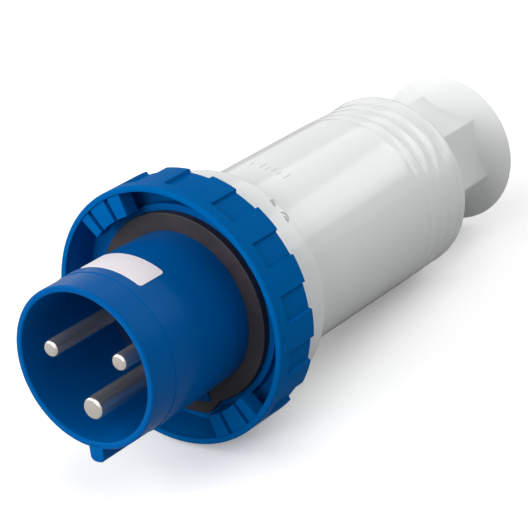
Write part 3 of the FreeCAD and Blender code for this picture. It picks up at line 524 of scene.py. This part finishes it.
def makeHousing():
    # a pad's grooves are (station, depth) and its waist is (station, height over the body); lead is the
    # slope before its first groove. The blends are (angle from the top, degrees that they take)
    shape = {"socket": 34.5, "front": 64.0, "flange": 41.0, "flangeRear": 79.0, "flangeFrontRound": 0.8,
             "flangeRearRound": 1.3, "bodyRound": 1.6, "body": 34.55, "gripFront": 150.6, "rear": 182.3,
             "rearRound": 2.4, "neck": 17.4, "neckRear": 205.0, "threadPitch": 2.0, "threadDepth": 0.7,
             "threadStart": 1.0, "glandBore": 14.2, "sealFront": 181.0, "entry": 11.0, "endWall": 177.0,
             "bore": 31.0, "taper": 172.0, "sealSeat": 78.2, "bodyCuts": 92, "neckCuts": 74, "crest": 2.4,
             "ridge": 0.12, "ridgeStation": 158.3, "ridgeHalf": 0.6, "ridgeBlend": (35.0, 8.0),
             "padBlend": (58.0, 20.0), "upperBlend": (59.0, 9.0), "lowerBlend": (70.0, 10.0),
             "upper": {"lead": 3.0,
                       "grooves": ((155.1, 0.26), (161.2, 0.4), (168.1, 0.46), (174.9, 0.46), (184.4, 0.5)),
                       "waist": ((150.6, 0), (155, -0.05), (164, -0.3), (172, -0.35), (176, -0.2),
                                 (179, 0.1), (182.3, 0.25))},
             "lower": {"lead": 1.2,
                       "grooves": ((156.1, 0.4), (163.4, 0.4), (169.9, 0.4), (178.0, 0.4), (186.0, 0.4)),
                       "waist": ((150.6, 0), (170, 0), (174, -0.2), (178, -0.2), (182.3, 0.2))}}
    upper, lower = shape["upper"], shape["lower"]

    def waistAt(pad, station):
        for (low, first), (high, second) in zip(pad["waist"], pad["waist"][1:]):
            if station <= high:
                return first + (second - first) * (station - low) / (high - low)
        return second

    def grooveAt(pad, station):
        for (low, first), (high, second) in zip(pad["grooves"], pad["grooves"][1:]):
            if low <= station < high:
                share = (station - low) / (high - low)
                return (first + (second - first) * share) * abs(2 * share - 1) ** shape["crest"]
        start, depth = pad["grooves"][0]
        return depth * max(0, 1 - (start - station) / pad["lead"]) ** 2

    def gripAt(station, angle):
        # how far the grip stands over the body here: the upper pad at the top, the lower one under it
        side = abs((angle + 180) % 360 - 180)
        share = fade(side, *shape["padBlend"])
        share = share * share * (3 - 2 * share)
        height = waistAt(upper, station) * (1 - share) + waistAt(lower, station) * share
        ridge = shape["ridge"] * max(0, 1 - abs(station - shape["ridgeStation"]) / shape["ridgeHalf"])
        cut = grooveAt(upper, station) + ridge * fade(side, *shape["ridgeBlend"])
        height -= cut * (1 - fade(side, *shape["upperBlend"]))
        return height - grooveAt(lower, station) * fade(side, *shape["lowerBlend"])

    mesh = bmesh.new()
    outlineFace(mesh, [
        (shape["socket"], shape["front"]), (shape["flange"], shape["front"]),
        (shape["flange"], shape["flangeRear"]), (shape["body"], shape["flangeRear"]),
        (shape["body"], shape["gripFront"]), (shape["body"], shape["rear"]),
        (shape["neck"], shape["rear"]), (shape["neck"], shape["neckRear"]),
        (shape["glandBore"], shape["neckRear"]), (shape["glandBore"], shape["sealFront"]),
        (shape["entry"], shape["sealFront"]), (shape["entry"], shape["endWall"]),
        (shape["neck"], shape["endWall"]), (shape["bore"], shape["taper"]),
        (shape["bore"], shape["sealSeat"]), (shape["socket"], shape["sealSeat"]),
    ], {1: shape["flangeFrontRound"], 2: shape["flangeRearRound"], 3: shape["bodyRound"],
        5: shape["rearRound"]})
    gripRear = shape["rear"] - shape["rearRound"]
    cutEdge(mesh, (shape["body"], shape["gripFront"]), (shape["body"], gripRear), shape["bodyCuts"])
    cutEdge(mesh, (shape["neck"], shape["rear"]), (shape["neck"], shape["neckRear"]), shape["neckCuts"])
    spinWhole(mesh)
    outside = shape["body"] - shape["rearRound"] - closeBy
    for vert in mesh.verts:
        radius, angle = placeOf(vert)
        station = vert.co.y
        along = station - shape["rear"]
        if abs(radius - shape["neck"]) < closeBy and along > -closeBy:
            ease = min(1, max(0, along - shape["threadStart"]), max(0, shape["neckRear"] - station))
            wave = 0.5 - 0.5 * math.cos(math.tau * (along / shape["threadPitch"] - angle / 360))
            setRadius(vert, radius - shape["threadDepth"] * ease * wave)
        elif radius > outside and station > shape["gripFront"]:
            setRadius(vert, radius + gripAt(station, angle))
    finishPiece(mesh, "rearHousing", "plug_body", housingWhite, ["rear_housing"],
                sharpAngle=50)


# gland nut: hexagon that opens into a trumpet-shaped bell for the cable

def makeNut():
    # the outside is drawn as a cylinder of the radius drawn, well away from the bell's inside, and gets
    # its hexagon and bell after the spin; bell is the radius at the bell's start, its growth and its flare
    shape = {"drawn": 40.0, "front": 184.0, "frontRound": (0.4, 0.6), "chamfer": 1.2, "flat": 20.21,
             "corner": 23.34, "cornerSoft": 0.12, "phase": 48.2, "hexRear": 207.0, "bellCuts": 44,
             "bellStart": 208.6, "bell": (16.5, 8.0, 5.05), "blend": 0.35,
             "rim": 223.3, "rimRadius": 29.55, "rimWall": 1.3, "rimDepth": 0.65, "rimRound": (0.2, 0.25),
             "threadBore": 17.7, "shoulder": 205.4, "entry": 10.5, "throatEnd": 209.4, "throatRound": 1.5,
             "trumpet": (17.6, 217.4), "trumpetRound": 8.6}

    def hexAt(angle):
        fromFlat = (angle % 60) - 30
        flat = shape["flat"] / math.cos(math.radians(fromFlat))
        return softLeast(flat, shape["corner"] - shape["cornerSoft"], shape["cornerSoft"])

    def bellAt(station):
        start, growth, flare = shape["bell"]
        share = (station - shape["bellStart"]) / (shape["rim"] - shape["bellStart"])
        return start + growth * share + flare * share * share

    mesh = bmesh.new()
    drawn = shape["drawn"]
    rimEnd = shape["rim"] + shape["rimDepth"]
    (frontIn, frontBack), (rimIn, rimBack) = shape["frontRound"], shape["rimRound"]
    outlineFace(mesh, [
        (shape["threadBore"], shape["front"]), (drawn - frontIn, shape["front"]),
        (drawn, shape["front"] + frontBack), (drawn, shape["hexRear"]), (drawn, shape["rim"]),
        (drawn - rimIn, rimEnd - rimBack), (drawn - shape["rimDepth"], rimEnd),
        (shape["rimRadius"] - shape["rimWall"], rimEnd), shape["trumpet"],
        (shape["entry"], shape["throatEnd"]), (shape["entry"], shape["shoulder"]),
        (shape["threadBore"], shape["shoulder"]),
    ], {})
    cutEdge(mesh, (drawn, shape["hexRear"]), (drawn, shape["rim"]), shape["bellCuts"])
    roundCorner(mesh, shape["trumpet"], shape["trumpetRound"], 20)
    roundCorner(mesh, (shape["entry"], shape["throatEnd"]), shape["throatRound"], 5)
    spinWhole(mesh)
    for vert in mesh.verts:
        radius, angle = placeOf(vert)
        station = vert.co.y
        inwards = drawn - radius
        if inwards > shape["rimDepth"] + closeBy:
            continue
        if station > shape["rim"] - closeBy:
            setRadius(vert, shape["rimRadius"] - inwards)
        elif station < shape["front"] + frontBack + closeBy:
            setRadius(vert, hexAt(angle) - inwards * shape["chamfer"])
        else:
            # the larger of the hexagon and the bell, with a rounded change between them
            bell = bellAt(station) if station > shape["bellStart"] else 0
            setRadius(vert, -softLeast(-hexAt(angle), -bell, shape["blend"]))
    phase = Matrix.Rotation(math.radians(shape["phase"]), 3, "Y")
    bmesh.ops.rotate(mesh, cent=(0, 0, 0), matrix=phase, verts=mesh.verts[:])
    finishPiece(mesh, "glandNut", "gland_turner", nutWhite, ["gland_nut"], sharpAngle=50)


# label: bare pale sticker on top of the sleeve

def makeLabel():
    shape = {"radius": 29.0, "front": 16.0, "rear": 28.5, "left": -20.0, "right": 32.0, "corner": 1.3,
             "thickness": 0.07, "strips": 60}
    mesh = bmesh.new()
    left = math.radians(shape["left"]) * shape["radius"]
    right = math.radians(shape["right"]) * shape["radius"]
    front, rear = shape["front"], shape["rear"]
    corners = ((left, front), (right, front), (right, rear), (left, rear))
    verts = [mesh.verts.new((across, station, 0)) for across, station in corners]
    mesh.faces.new(verts)
    roundOff(mesh, verts, shape["corner"], 6, "VERTICES")
    for strip in range(1, shape["strips"]):
        across = left + (right - left) * strip / shape["strips"]
        bmesh.ops.bisect_plane(mesh, geom=mesh.verts[:] + mesh.edges[:] + mesh.faces[:], dist=1e-5,
                               plane_co=(across, 0, 0), plane_no=(1, 0, 0))
    pullOut(mesh, (0, 0, shape["thickness"]))
    wrapRound(mesh, shape["radius"])
    finishPiece(mesh, "sleeveLabel", "plug_body", paper)


# moulded marks: small raised strokes on the housing, each an angle, two stations and a width

def makeMarks():
    shape = {"base": 34.3, "body": 34.55, "rise": 0.2,
             "strokes": ((-4.2, 101.3, 104.1, 0.35), (4.2, 100.6, 104.9, 0.45), (8.6, 100.2, 102.4, 0.4),
                         (12.6, 100.4, 104.0, 0.5), (17.2, 99.8, 102.1, 0.5), (22.0, 99.7, 104.0, 0.65))}
    mesh = bmesh.new()
    for angle, front, rear, width in shape["strokes"]:
        spunBlock(mesh, (shape["base"], shape["body"] + shape["rise"]), (front, rear),
                  angle, math.degrees(width / shape["body"]), 2)
    finishPiece(mesh, "mouldedMarks", "plug_body", housingWhite)


# locking marks on the housing's flange: a wedge and a bow, outlines of (angle, station) corners; their grey
# is painted shade for the shading of the raised marks

def makeLockMarks():
    shape = {"collar": 41.0, "rise": 0.12, "root": 0.4,
             "wedge": ((35.7, 76.9), (35.9, 78.2), (36.7, 78.5), (39.9, 76.7), (39.6, 76.2)),
             "bow": ((43.6, 76.6), (44.5, 77.6), (46.1, 78.1), (47.9, 77.8), (49.6, 76.7), (49.8, 76.1),
                     (48.1, 75.9), (46.1, 76.3), (46.2, 76.8), (48.0, 76.6), (48.8, 76.7), (47.7, 77.3),
                     (46.1, 77.6), (44.9, 77.2), (44.1, 76.4))}
    mesh = bmesh.new()
    for corners in (shape["wedge"], shape["bow"]):
        part = bmesh.new()
        part.faces.new([part.verts.new((math.radians(angle) * shape["collar"], station, 0))
                        for angle, station in corners])
        pullOut(part, (0, 0, shape["rise"] + shape["root"]))
        wrapRound(part, shape["collar"], shape["root"])
        bmesh.ops.recalc_face_normals(part, faces=part.faces[:])
        joinInto(mesh, part)
    finishPiece(mesh, "lockMarks", "plug_body", markPaintedShade)


makeSleeve()
makeGasket()
makeRing()
makePins()
makeHousing()
makeNut()
makeLabel()
makeMarks()
makeLockMarks()

# the solids that stay as they are get their finish
solidFinish = {
    "contact_carrier": carrierBlueWithPaintedShade, "carrier_screws": screwSteel, "retainer_screw": screwSteel,
    "pin_retainer": retainerBlack, "housing_seal": glandRubber, "gland_seal": glandRubber,
    "clamp_cage": cageGrey, "thrust_ring": cageGrey,
    "earth_terminal_screw_front": screwSteel, "earth_terminal_screw_rear": screwSteel,
    "line_terminal_screw_front": screwSteel, "line_terminal_screw_rear": screwSteel,
    "neutral_terminal_screw_front": screwSteel, "neutral_terminal_screw_rear": screwSteel,
}
for nodeName, nodeMaterial in solidFinish.items():
    solid = frame["nodes"][nodeName]
    solid.data.materials.clear()
    solid.data.materials.append(nodeMaterial)
print("solids finished")


# stage, lamps and camera, all lengths in metres

plugMiddle = 0.1  # how far the middle of the plug is behind its mouth


def makeStage():
    stage = {"size": 6.0, "floor": solidBox[0].z, "roughness": 0.9, "gloss": 0.0, "tone": 0.5,
             "seenTone": 1.0, "glow": 0.22, "farGlow": 1.0, "glowStart": 0.35, "glowEnd": 1.1}
    mesh = bmesh.new()
    bmesh.ops.create_grid(mesh, x_segments=1, y_segments=1, size=stage["size"] / 2)
    bmesh.ops.translate(mesh, vec=(0, plugMiddle, stage["floor"]), verts=mesh.verts[:])
    floor = objectFrom(mesh, "studioFloor")
    material, tree, shader, place = newMaterial("floorPaper")
    shader.inputs["Roughness"].default_value = stage["roughness"]
    shader.inputs["Specular IOR Level"].default_value = stage["gloss"]
    shader.inputs["Emission Color"].default_value = (1, 1, 1, 1)
    path = tree.nodes.new("ShaderNodeLightPath")
    tones = mixColours(tree, path.outputs["Is Camera Ray"], (stage["tone"],) * 3, (stage["seenTone"],) * 3)
    tree.links.new(tones, shader.inputs["Base Color"])
    # painted light: a glow seen only by the camera, weak near the plug so that the floor keeps its shadow
    # there, grows with the distance from the plug until the paper is white
    away = tree.nodes.new("ShaderNodeVectorMath")
    away.operation = "LENGTH"
    tree.links.new(place, away.inputs[0])
    glow = rangeOf(tree, away.outputs["Value"], stage["glow"], stage["farGlow"],
                   stage["glowStart"], stage["glowEnd"])
    seen = tree.nodes.new("ShaderNodeMath")
    seen.operation = "MULTIPLY"
    tree.links.new(path.outputs["Is Camera Ray"], seen.inputs[0])
    tree.links.new(glow, seen.inputs[1])
    tree.links.new(seen.outputs[0], shader.inputs["Emission Strength"])
    floor.data.materials.append(material)


def makeLamps():
    lamps = [
        {"name": "frontBox", "place": (0, -1.2, 0.66), "size": (1.2, 0.8), "power": 13.0},
        {"name": "leftBox", "place": (-0.9, -0.7, 0.8), "size": (1.0, 0.8), "power": 11.0},
        {"name": "overheadBox", "place": (0.5, 0.1, 1.1), "size": (1.2, 1.2), "power": 5.3},
        {"name": "backBox", "place": (0.70, 1.32, 0.60), "size": (1.2, 0.55), "power": 4.0},
        {"name": "farBox", "place": (0.2, 1.5, 0.9), "size": (1.5, 0.8), "power": 5.0},
    ]
    for lamp in lamps:
        light = bpy.data.lights.new(lamp["name"], "AREA")
        light.shape = "RECTANGLE"
        light.size, light.size_y = lamp["size"]
        light.energy = lamp["power"]
        holder = bpy.data.objects.new(lamp["name"], light)
        bpy.context.scene.collection.objects.link(holder)
        holder.location = lamp["place"]
        towards = Vector((0, plugMiddle, 0)) - holder.location
        holder.rotation_euler = towards.to_track_quat("-Z", "Y").to_euler()


def makeWorld():
    light = {"room": 0.2, "seen": 1.0}
    world = bpy.data.worlds.new("studio")
    bpy.context.scene.world = world
    world.use_nodes = True
    tree = world.node_tree
    background = tree.nodes["Background"]
    background.inputs["Color"].default_value = (1, 1, 1, 1)
    # the camera, metal and glass see a white room, which lights the plug only a little
    path = tree.nodes.new("ShaderNodeLightPath")
    seen = path.outputs["Is Camera Ray"]
    for kind in ("Is Glossy Ray", "Is Transmission Ray"):
        either = tree.nodes.new("ShaderNodeMath")
        either.operation = "MAXIMUM"
        tree.links.new(seen, either.inputs[0])
        tree.links.new(path.outputs[kind], either.inputs[1])
        seen = either.outputs[0]
    strength = rangeOf(tree, seen, light["room"], light["seen"], 0, 1)
    tree.links.new(strength, background.inputs["Strength"])


def makeCamera():
    view = {"place": (0.4556, -0.4413, 0.3247), "right": (0.80317, 0.57050, -0.17161),
            "up": (-0.12666, 0.44498, 0.88654), "back": (0.58213, -0.69030, 0.42966),
            "lens": 150.0, "sensor": 36.0, "nearest": 0.01}
    lens = bpy.data.cameras.new("photoLens")
    lens.lens = view["lens"]
    lens.sensor_width = view["sensor"]
    lens.clip_start = view["nearest"]
    camera = bpy.data.objects.new("photoCamera", lens)
    bpy.context.scene.collection.objects.link(camera)
    turn = Matrix((view["right"], view["up"], view["back"])).transposed()
    camera.matrix_world = Matrix.Translation(view["place"]) @ turn.to_4x4()
    bpy.context.scene.camera = camera


makeStage()
makeLamps()
makeWorld()
makeCamera()
bpy.context.scene.view_settings.view_transform = "Standard"
print("stage, lamps and camera ready")
